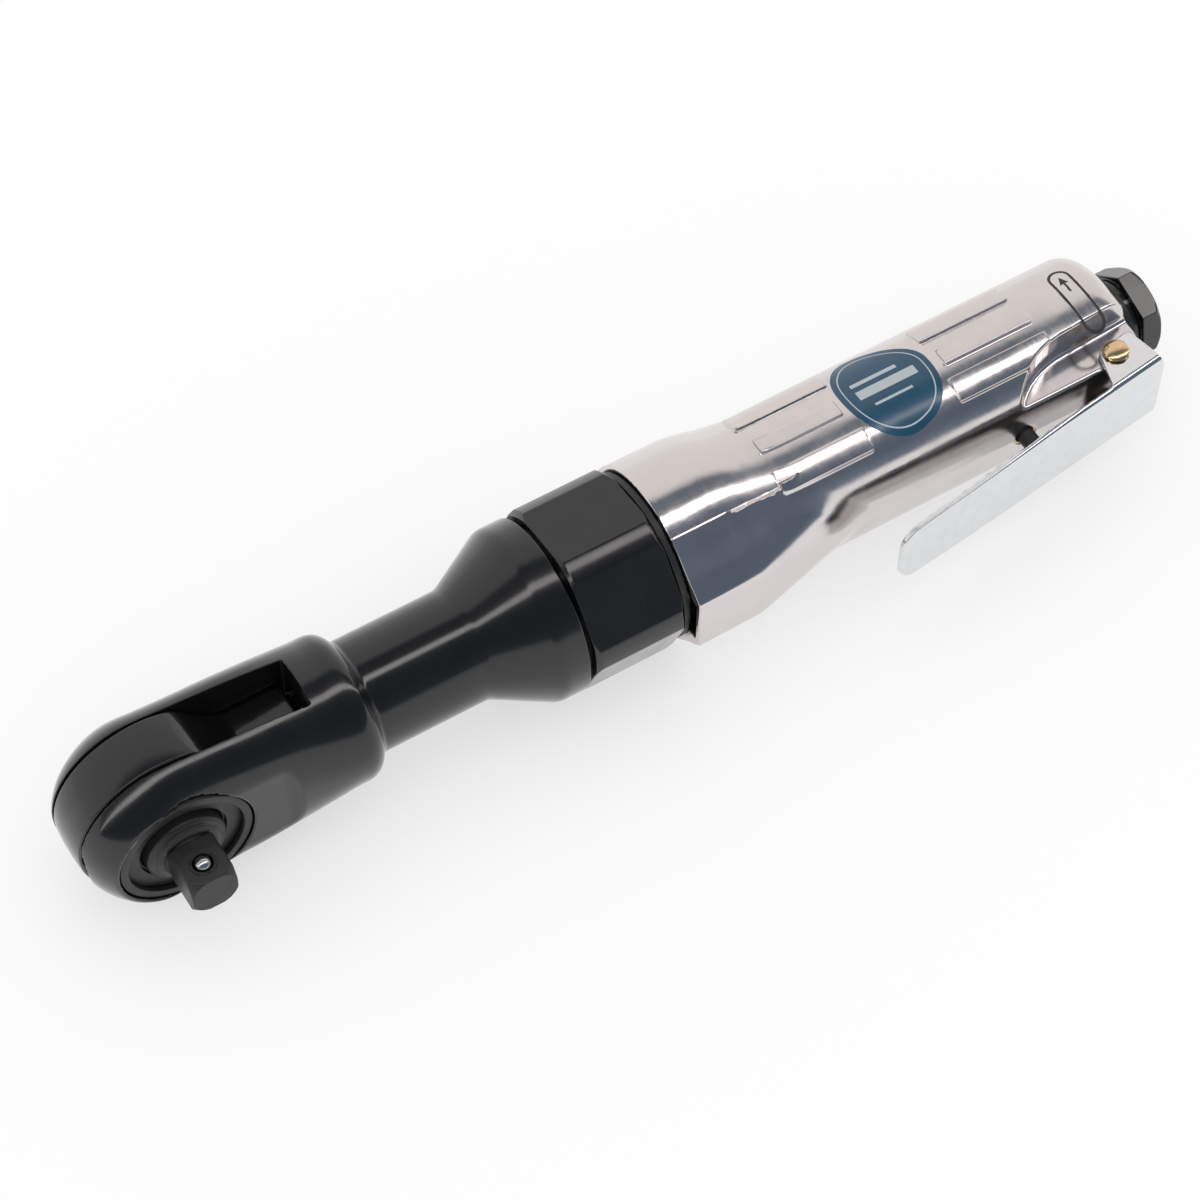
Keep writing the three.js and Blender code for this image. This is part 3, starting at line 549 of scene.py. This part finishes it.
def ratchet_housing(x, y, z):
    about_drive, about_tool = hyp(x, z), hyp(y, z)
    about_nose = hyp(np.minimum(x, 0), z)
    half_y, half_z, power = (eased(x, HEAD["x"], HEAD[name]) for name in ("half_y", "half_z", "power"))
    body = oval(about_nose, y, half_z, half_y, power)
    lean = FAR_CHAMFER["lean"]
    body = both(body, y * math.cos(lean) + about_nose * math.sin(lean) - FAR_CHAMFER["reach"], 3)
    body = both(body, x - SHOULDER_END, 4.6)
    flange = both(cone(about_tool, x, (NECK_R, CONE_X[0]), (FLANGE_R, CONE_X[1])), about_tool - FLANGE_R, 0.5)
    flange = both(flange, between(x, CONE_X[0] - 3, FLANGE_X), 0.35)
    neck = drum(about_tool, NECK_R, x, (30, 84))
    solid = either(body, either(neck, flange, 0.4), 1.0)
    solid = either(solid, drum(about_tool, 15.5, x, (80, SPIGOT_END), 0.4))
    for side in (-1, 1):
        solid = cut(solid, both(EAR_FACE - side * y, x - 25, 4), 0.4)
    solid = cut(solid, both(between(y, -SLOT["half"], SLOT["half"]), x - SLOT["rear"]), 0.2)
    recess = both(about_drive - RECESS["r"], y - RECESS["floor"])
    hollow = both(both(hyp(y - HOLLOW["y"], z - HOLLOW["z"]) - HOLLOW["r"], x - HOLLOW["rear"]), y)
    solid = cut(cut(solid, recess, 0.3), hollow, 0.35)
    bores = np.inf
    for r, ys in ANVIL_BORES:
        bores = np.minimum(bores, drum(about_drive, r, y, ys))
    for r, xs in CRANK_BORES:
        bores = np.minimum(bores, drum(about_tool, r, x, xs))
    return cut(solid, bores, 0.25)


YOKE = {"half": 5.5, "r": 19.2, "tail": (5, 30.4), "tail_half": 8.0, "fork_x": 20.5, "fork_half": 5.8,
        "lean": math.radians(43.15), "shoulder": 17.58}


def ratchet_yoke(x, y, z):
    about_drive = hyp(x, z)
    shoulder = x * math.cos(YOKE["lean"]) + np.abs(z) * math.sin(YOKE["lean"]) - YOKE["shoulder"]
    tail = both(np.abs(z) - YOKE["tail_half"], between(x, *YOKE["tail"]), 0.6)
    plan = either(both(about_drive - YOKE["r"], shoulder, 1.0), tail, 2.0)
    crown = np.where(x < 12, oval(about_drive, y, YOKE["r"], 19.0, 2.5), -1)
    solid = both(both(plan, crown), np.abs(y) - YOKE["half"], 0.4)
    tooth = np.clip(1.7 * np.cos(36 * np.arctan2(z, x)), -1, 1)
    solid = cut(solid, about_drive - 10.95 + 0.5 * tooth, 0.15)
    return cut(solid, both(np.abs(z) - YOKE["fork_half"], YOKE["fork_x"] - x), 0.3)


SQUARE = {"half": 9.525 / 2, "corner": 6.35, "boss": 6.9}


def drive_anvil(x, y, z):
    about_drive = hyp(x, z)
    square = both(np.abs(x) - SQUARE["half"], np.abs(z) - SQUARE["half"], 0.3)
    square = both(square, about_drive - SQUARE["corner"], 0.25)
    square = both(square, cone(about_drive, y, (4.9, SQUARE_END), (SQUARE["corner"], SQUARE_END + 1.5)), 0.2)
    square = both(square, between(y, SQUARE_END, -12))
    undercut = drum(about_drive, 30, y, (-14.75, -14.25))
    square = cut(square, both(undercut, 4.95 - about_drive))
    boss = both(drum(about_drive, SQUARE["boss"], y, (-14.3, -12), 0.25),
                cone(about_drive, y, (6.0, -14.3), (SQUARE["boss"], -13.7)), 0.1)
    collar = both(drum(about_drive, 8.4, y, (-13.4, -8), 0.2),
                  cone(about_drive, y, (7.7, -13.4), (8.4, -12.7)), 0.1)
    journal = drum(about_drive, 12.2, y, (-9, -6.1), 0.3)
    barrel = either(drum(about_drive, 9.8, y, (-7, 5.6), 0.2), drum(about_drive, 9.4, y, (5, 11.2), 0.2))
    solid = either(either(either(square, boss), collar, 0.3), either(journal, barrel))
    angle = np.abs(np.arctan2(z, -x))
    pocket = both(both(between(about_drive, 5.6, 13), (angle - math.radians(52)) * about_drive),
                  np.abs(y) - 4.0)
    bore = drum(about_drive, 4.6, y, (-3, 15))
    window = box(x, y, z, (-7, -3.1), (-1.8, 1.8), (-4.2, 4.2))
    pin_hole = both(hyp(x + 7.8, z) - 1.4, np.abs(y) - 5.2)
    about_ball = hyp(x, y - sum(BALL[1]) / 2)
    ball_hole = both(about_ball - 2.05, -2.8 - z)
    stake = both(between(about_ball, 2.35, 2.75), SQUARE["half"] - 0.12 - z)
    for part in (pocket, bore, window, pin_hole):
        solid = cut(solid, part, 0.1)
    return cut(cut(solid, ball_hole, 0.15), stake, 0.06)


def reverse_knob(x, y, z):
    about_drive = hyp(x, z)
    stem = drum(about_drive, 4.2, y, (-2.6, 12))
    flange = drum(about_drive, 8.8, y, (11.5, 13.9), 0.5)
    thumb = both(both(both(np.abs(z) - 1.7, about_drive - 8.3, 0.4), y - KNOB_TOP, 0.45), 12 - y)
    scoop = hyp(about_drive - 6.0, y - 15.3) - 1.9            # a finger channel round the thumb bar
    solid = either(either(stem, cut(flange, scoop, 0.3)), thumb, 0.5)
    notches = both(both(np.abs(x) - 0.4, y - 13.2 - 10), both(7.3 - np.abs(z), 13.5 - y))
    return cut(cut(solid, notches, 0.1), both(hyp(y, z) - 1.5, between(x, -6, 2.6)))


# ---------------------------------------------------------------- clamp nut
NUT = {"r": 19.8, "flats": 18.2, "turn": 22.3, "bore": 14.2, "seat": 15.8, "thread": 16.5,
       "thread_end": 117.8}


def six_flats(y, z, turn_deg, half):
    """A hexagonal bar along x, half thick from its axis to each flat."""
    hexagon = -np.inf
    for k in range(3):
        a = math.radians(turn_deg + 60 * k)
        hexagon = np.maximum(hexagon, np.abs(y * math.cos(a) + z * math.sin(a)) - half)
    return hexagon


def clamp_nut(x, y, z):
    about_tool = hyp(y, z)
    hexagon = six_flats(y, z, NUT["turn"], NUT["flats"])
    front, rear = NUT_X
    grip = both(hexagon, about_tool - NUT["r"], 0.12)
    grip = both(grip, between(x, front, rear), 0.15)
    grip = both(grip, cone(about_tool, x, (NUT["r"] - 0.9, front), (NUT["r"], front + 0.9)), 0.1)
    grip = both(grip, -cone(about_tool, x, (NUT["r"] - 0.9, rear), (NUT["r"], rear - 0.9)), 0.1)
    thread = about_tool - NUT["thread"] + grooves(x, 1.5, 0.25)
    thread = both(thread, between(x, rear - 1, NUT["thread_end"]), 0.2)
    solid = either(grip, thread)
    solid = cut(solid, drum(about_tool, NUT["seat"], x, (80, SPIGOT_END + 0.3)), 0.2)
    return cut(solid, about_tool - NUT["bore"], 0.2)


# ---------------------------------------------------------------- motor housing
WAIST = {"x": [121, 126, 131, 136, 142], "half": [19.1, 18.6, 17.3, 16.2, 15.8],
         "power": [2, 2, 2.1, 2.3, 2.5]}
KEEL = {"x": [124, 129, 137, 145, 157], "face": [KEEL_FACE, 20.4, 19.1, 17.7, 15.6],
        "half": [6.8, 6.6, 6.2, 5.8, 5.2]}
TONGUE_HALF = 7.7
BARS = [((135.5, 157), (-10.8, -6)), ((136, 155.5), (-1.7, 2)), ((135, 157), (6.4, 11)),
        ((178.5, 202.3), (-10.2, -5.1)), ((180.3, 201.6), (-1.9, 2.1)), ((179, 201), (5.6, 10.6))]
POCKET = ([(189.5, -30)] + curve((190.5, -15.2), (194.5, -8.6), (204.6, -7.1))
          + [(204.6, -7.1), (240, -5.2), (240, -30)])


def housing_skin(x, y, z):
    """The casting's outside without its bars and pockets."""
    half = eased(x, WAIST["x"], WAIST["half"])
    skin = oval(y, z, half, half, eased(x, WAIST["x"], WAIST["power"]))
    face, side = eased(x, KEEL["x"], KEEL["face"]), eased(x, KEEL["x"], KEEL["half"])
    across, rise = 0.48 * face, 0.72 * face - side
    flank = ((np.abs(z) - side) * across - (y + face) * rise) / hyp(across, rise)
    ridge = eased(x, [HOUSING_X[0], 122, 150], [0.5, 0.9, 5])
    keel = both(both(-y - face, flank, ridge), y + 0.5 * face)
    skin = either(skin, keel, 0.8)
    skin = both(skin, x - HOUSING_X[1], 6.5)
    return both(skin, HOUSING_X[0] - x, 0.35)


def motor_housing(x, y, z):
    skin = housing_skin(x, y, z)
    solid = skin
    for xs, ys in BARS:
        pad = both(both(between(x, *xs), between(y, *ys), 0.5), skin - 0.7, 0.3)
        solid = either(solid, pad, 0.3)
    pocket = both(outline(x, y, POCKET), TONGUE_HALF - np.abs(z), 1.2)
    solid = cut(solid, pocket, 0.45)
    solid = cut(solid, box(x, y, z, (100, 121), (-19.4, 0), (-5.4, 5.4), 0.4), 0.3)
    about_tool, about_valve = hyp(y, z), hyp(x - VALVE_X, z)
    solid = cut(solid, drum(about_tool, 16.9, x, (100, 118.1)), 0.35)
    solid = cut(solid, drum(about_tool, 14.2, x, (100, 166.1)))
    solid = cut(solid, drum(hyp(y + 7.6, z), 2.1, x, (160, VALVE_X)))
    inlet = either(drum(about_tool, 3.3, x, (VALVE_X, 210)), drum(about_tool, 6.9, x, (204, 240)))
    solid = cut(solid, inlet, 0.3)
    for r, ys in ((4.6, (-5.2, 30)), (3.3, (-9.8, 0)), (2.5, (-30, 0)), (3.7, (-14.3, -10.4))):
        solid = cut(solid, drum(about_valve, r, y, ys), 0.25)
    return cut(solid, hyp(x - PIN[0], y - PIN[1]) - 1.8, 0.2)


# the outline, as curves that share their ends: end, handle, end, handle and so on
LABEL = [(157, 2), (157, -5), (160.5, -8.5), (165, -13), (172.5, -10), (178.5, -7), (178, 1.5), (178, 6),
         (171.5, 9.3), (163, 13.5), (158.8, 8), (157, 6), (157, 2)]
LABEL_CENTRE = (167.3, 0.5)
LABEL_RINGS = [0.14, 0.28, 0.42, 0.56, 0.68, 0.78, 0.86, 0.885, 0.94, 1.0]
LABEL_LINE = 6                                                 # the ring where the printed line starts


def name_label():
    """A thin film that follows the casting, with a printed line inside its rim and nothing written on it."""
    rim = [point for k in range(0, len(LABEL) - 1, 2) for point in curve(*LABEL[k:k + 3], 14)]
    rim, centre = np.array(rim), np.array(LABEL_CENTRE)
    flat = np.concatenate([[centre]] + [centre + (rim - centre) * t for t in LABEL_RINGS])
    count, rings = len(rim), len(LABEL_RINGS)

    def skin(lift):
        z = np.full(len(flat), 15.0)
        for _ in range(12):
            z -= (housing_skin(flat[:, 0], flat[:, 1], z) - lift)
        return np.column_stack([flat, z])

    faces = [(0, 1 + i, 1 + (i + 1) % count) for i in range(count)]
    for k in range(rings - 1):
        inner, outer = 1 + k * count, 1 + (k + 1) * count
        faces += [(inner + i, outer + i, outer + (i + 1) % count, inner + (i + 1) % count)
                  for i in range(count)]
    printed = range(count * (1 + LABEL_LINE), count * (2 + LABEL_LINE))
    under, edge = len(flat), 1 + (rings - 1) * count
    faces += [tuple(reversed([f + under for f in face])) for face in faces]
    faces += [(edge + i, under + edge + i, under + edge + (i + 1) % count, edge + (i + 1) % count)
              for i in range(count)]
    mesh = bpy.data.meshes.new("name_label_film")
    mesh.from_pydata(place(np.concatenate([skin(0.14), skin(-0.08)])).tolist(), [], faces)
    dress(linked("name_label_film", mesh), "name_label")
    mesh.materials.append(PRINT)
    for k in printed:
        mesh.polygons[k].material_index = 1
    clean(mesh)


MARK = {"x": 213.3, "ends": (-7.4, 4.6), "r": 2.25, "line": 0.34}
ARROW = [(213.3, 5.2), (212.2, 2.9), (213.0, 3.1), (213.0, 0.6), (213.6, 0.6), (213.6, 3.1), (214.4, 2.9)]


def engraved_mark(x, y, z):
    """The black filling of an engraved long ring with a plain arrow in it, flush with the casting."""
    ring = np.abs(hyp(x - MARK["x"], y - np.clip(y, *MARK["ends"])) - MARK["r"]) - MARK["line"]
    drawn = either(ring, outline(x, y, ARROW))
    return both(both(drawn, between(housing_skin(x, y, z), -0.3, 0.03)), -z)


# ---------------------------------------------------------------- lever, valve and inlet
BLADE = {"tip": (LEVER[0][0], LEVER[1][0]), "rear_x": LEVER[0][1], "slope": math.radians(7.4), "thick": 1.3,
         "half": (7.5, LEVER[2][1]), "flare": 22.0}
CHEEK = [(209.2, -26), (209.4, -21.2), (212.2, -11.9), (212.9, -11.1), (220.3, -9.9), (221.2, -10.4),
         (222.9, -19.4), (224.0, -26)]


def throttle_lever(x, y, z):
    c, s = math.cos(BLADE["slope"]), math.sin(BLADE["slope"])
    length = (BLADE["rear_x"] - BLADE["tip"][0]) / c
    dx, dy = x - BLADE["tip"][0], y - BLADE["tip"][1]
    along, above = dx * c + dy * s, dy * c - dx * s
    wide = np.abs(z)
    half = np.interp(along, [0, length - BLADE["flare"]], BLADE["half"])
    corner = np.where(along < length / 2, 4.6, 3.6)
    blade = both(both(wide - half, between(along, 0, length), corner), above - BLADE["thick"])
    full, thick = BLADE["half"][1], 1.2
    outer = both(-above, wide - full, 1.5)
    inner = both(thick - above + 0.1, wide - full + thick, 0.4)
    channel = cut(outer, inner)
    cheeks = outline(x, y, CHEEK)
    lever = both(channel, either(blade, cheeks, 0.8), 0.35)
    return cut(lever, hyp(x - PIN[0], y - PIN[1]) - 1.7, 0.15)


INLET = {"flats": 8.8, "turn": 49.0, "face": 8.9, "chamfer": 1.2, "neck": 8.3, "barrel": 6.6,
         "thread": 5.6, "socket_x": 219.0}


def inlet_bushing(x, y, z):
    about_tool = hyp(y, z)
    hexagon = six_flats(y, z, INLET["turn"], INLET["flats"])
    corner_r = 2 * INLET["flats"] / math.sqrt(3)
    front, rear = HEX_X
    grip = both(hexagon, between(x, front, rear), 0.2)
    grip = both(grip, -cone(about_tool, x, (INLET["face"], rear), (corner_r, rear - INLET["chamfer"])), 0.3)
    collar = drum(about_tool, INLET["neck"], x, (front - 1.8, front + 1), 0.3)
    waist = both(between(x, front - 0.8, front - 0.2), 7.6 - about_tool)
    solid = either(grip, cut(collar, waist, 0.1), 0.1)
    solid = either(solid, drum(about_tool, INLET["barrel"], x, (210, front), 0.3))
    thread = INLET["thread"] + grooves(x, 1.34, 0.3)
    socket = both(about_tool - thread, INLET["socket_x"] - x)
    mouth = -cone(about_tool, x, (6.7, rear + 0.1), (INLET["thread"], rear - 1.0))
    solid = cut(solid, both(mouth, about_tool - 6.8), 0.1)
    return cut(cut(solid, socket, 0.1), drum(about_tool, 3.6, x, (200, 222)), 0.2)


def valve_plug(x, y, z):
    about_valve = hyp(x - VALVE_X, z)
    low, high = span("valve_plug")[1]
    solid = both(about_valve - 4.2 + grooves(y, 1.0, 0.2), between(y, low, high), 0.3)
    return cut(solid, both(both(np.abs(z) - 0.6, high - 1.1 - y), np.abs(x - VALVE_X) - 3.2), 0.1)


# ---------------------------------------------------------------- the pieces
def grow_all():
    reaches = {
        "ratchet_housing": (ratchet_housing, span("ratchet_housing"), 0.42),
        "ratchet_yoke": (ratchet_yoke, span("ratchet_yoke"), 0.3),
        "drive_anvil": (drive_anvil, span("drive_anvil"), 0.22),
        "reverse_knob": (reverse_knob, span("reverse_knob"), 0.22),
        "clamp_nut": (clamp_nut, span("clamp_nut"), 0.32),
        "motor_housing": (motor_housing, span("motor_housing"), 0.46),
        "throttle_lever": (throttle_lever, LEVER, 0.3),
        "inlet_bushing": (inlet_bushing, span("inlet_bushing"), 0.25),
        "valve_plug": (valve_plug, span("valve_plug"), 0.2),
    }
    for node, (field, reach, step) in reaches.items():
        piece = grown(node + "_form", field, reach, step)
        dress(piece, node, CASTING if node == "motor_housing" else None)
    mark = grown("engraved_mark", engraved_mark, ((210.5, 216.2), (-10.2, 7.4), (11, 16.5)), 0.12)
    dress(mark, "motor_housing", INK, replace=False)


def ring_profile(inner, outer, low, high):
    return [(inner, low), (outer, low), (outer, high), (inner, high)]


def turn_all():
    """Washers, rings, pins and seals, each from its node's own box."""
    for node, inner, axis in (("thrust_washer", 8.8, "y"), ("wave_washer", 9.2, "y"),
                              ("retaining_ring", 12.3, "y"), ("mouth_seal", 16.8, "x"),
                              ("inlet_seal", 6.9, "x"), ("valve_bush", 2.2, "y")):
        reach = span(node)
        along = reach["xyz".index(axis)]
        radius = (reach[2][1] - reach[2][0]) / 2
        centre = [0 if name == axis else sum(reach[k]) / 2 for k, name in enumerate("xyz")]
        dress(turned(node + "_form", axis, centre, ring_profile(inner, radius, *along)), node)
    low, high = span("valve_stem")[1]
    stem = [(0, low), (1.9, low), (1.9, high), (0, high)]
    dress(turned("valve_stem_form", "y", (VALVE_X, 0, 0), stem, 0.5, 48), "valve_stem")
    top = span("lever_pin")[2][1]
    seat, head_r = top - 1.2, 2.8
    dome = [(head_r * math.sin(a), seat + 0.35 + 0.85 * math.cos(a))
            for a in (math.radians(d) for d in range(0, 91, 10))]
    head = dome + [(head_r, seat), (1.5, seat)]
    profile = head + [(r, -z) for r, z in reversed(head)]
    dress(turned("lever_pin_form", "z", (PIN[0], PIN[1], 0), profile, 0.02, 64), "lever_pin")
    radius = (BALL[0][1] - BALL[0][0]) / 2
    middle = [sum(reach) / 2 for reach in BALL]
    arc = [(radius * math.sin(a), radius * math.cos(a)) for a in (math.radians(d) for d in range(0, 181, 6))]
    arc[-1] = (0, -radius)
    dress(turned("detent_ball_form", "z", middle, arc, 0.0, 64), "detent_ball")


def dress_kept_nodes():
    for name, node in frame["nodes"].items():
        if not node.hide_render:
            node.data.materials.clear()
            node.data.materials.append(SLOT_FINISH[NODE_SLOT[name]])


# ---------------------------------------------------------------- studio
# what glossy surfaces see: degrees up from the level on the square's side and over the top, then the colour
CEILING = [(0, 1.0, 1.0, 1.0), (6, 0.95, 0.96, 1.0), (13, 0.16, 0.20, 0.26), (40, 0.10, 0.13, 0.18),
           (66, 0.13, 0.16, 0.21), (75, 0.2, 0.22, 0.26), (79, 4.6, 4.4, 4.3), (84, 4.6, 4.4, 4.3),
           (89, 0.2, 0.22, 0.26), (108, 0.13, 0.16, 0.2), (116, 0.92, 0.88, 0.87), (180, 0.95, 0.92, 0.91)]


def studio_world():
    """White all round for what it lights; glossy surfaces see a dark ceiling with one long strip light."""
    world = bpy.data.worlds.new("studio")
    bpy.context.scene.world = world
    world.use_nodes = True
    tree = world.node_tree
    link = tree.links.new
    new = tree.nodes.new
    back = tree.nodes["Background"]
    direction = new("ShaderNodeTexCoord").outputs["Generated"]
    split = new("ShaderNodeSeparateXYZ")
    link(direction, split.inputs[0])
    turn = new("ShaderNodeMath")
    turn.operation = "MULTIPLY"
    link(split.outputs["Y"], turn.inputs[0])
    turn.inputs[1].default_value = -1
    angle = new("ShaderNodeMath")
    angle.operation = "ARCTAN2"
    link(split.outputs["Z"], angle.inputs[0])
    link(turn.outputs[0], angle.inputs[1])
    share = new("ShaderNodeMapRange")
    link(angle.outputs[0], share.inputs[0])
    share.inputs[1].default_value, share.inputs[2].default_value = 0, math.pi
    ramp = new("ShaderNodeValToRGB")
    link(share.outputs[0], ramp.inputs[0])
    ramp.color_ramp.elements[0].position = 0
    ramp.color_ramp.elements[0].color = (*CEILING[0][1:], 1)
    ramp.color_ramp.elements[1].position = 1
    ramp.color_ramp.elements[1].color = (*CEILING[-1][1:], 1)
    for degrees, *colour in CEILING[1:-1]:
        ramp.color_ramp.elements.new(degrees / 180).color = (*colour, 1)
    path = new("ShaderNodeLightPath")
    mix = new("ShaderNodeMix")
    mix.data_type = "RGBA"
    link(path.outputs["Is Glossy Ray"], mix.inputs[0])
    mix.inputs[6].default_value = (1, 1, 1, 1)
    link(ramp.outputs[0], mix.inputs[7])
    link(mix.outputs[2], back.inputs["Color"])
    back.inputs["Strength"].default_value = 1.0


def studio_floor():
    low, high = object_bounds()
    middle = (low + high) / 2
    size = 6.0
    mesh = bpy.data.meshes.new("floor")
    corners = [(middle.x + size * u, middle.y + size * v, low.z - 0.0002)
               for u, v in ((-1, -1), (1, -1), (1, 1), (-1, 1))]
    mesh.from_pydata(corners, [], [(0, 1, 2, 3)])
    floor = linked("floor", mesh)
    made = Finish("floor_white", (0.42, 0.42, 0.42), 0.6, Specular_IOR_Level=0.0, Emission_Color=(1, 1, 1, 1),
                  Emission_Strength=0.58)
    mesh.materials.append(made.material)


def studio_camera():
    """A long lens from the front left, above the head."""
    azimuth, elevation = math.radians(-31.57), math.radians(55.24)
    across, lift, away = -0.01141, 0.000772, 0.69307
    target = Vector((NUT_X[0] * MM - MM, AXIS_Y, 0))
    right = Vector((math.cos(azimuth), math.sin(azimuth), 0))
    back = Vector((math.sin(azimuth) * math.cos(elevation), -math.cos(azimuth) * math.cos(elevation),
                   math.sin(elevation)))
    up = back.cross(right)
    data = bpy.data.cameras.new("camera")
    camera = bpy.data.objects.new("camera", data)
    bpy.context.scene.collection.objects.link(camera)
    data.sensor_width, data.lens = 36, 105
    data.clip_start, data.clip_end = 0.01, 50
    camera.matrix_world = Matrix.Translation(target - right * across + up * lift + back * away) @ Matrix(
        (right, up, back)).transposed().to_4x4()
    bpy.context.scene.camera = camera


grow_all()
turn_all()
name_label()
dress_kept_nodes()
studio_world()
studio_floor()
studio_camera()
bpy.context.scene.view_settings.view_transform = "Standard"
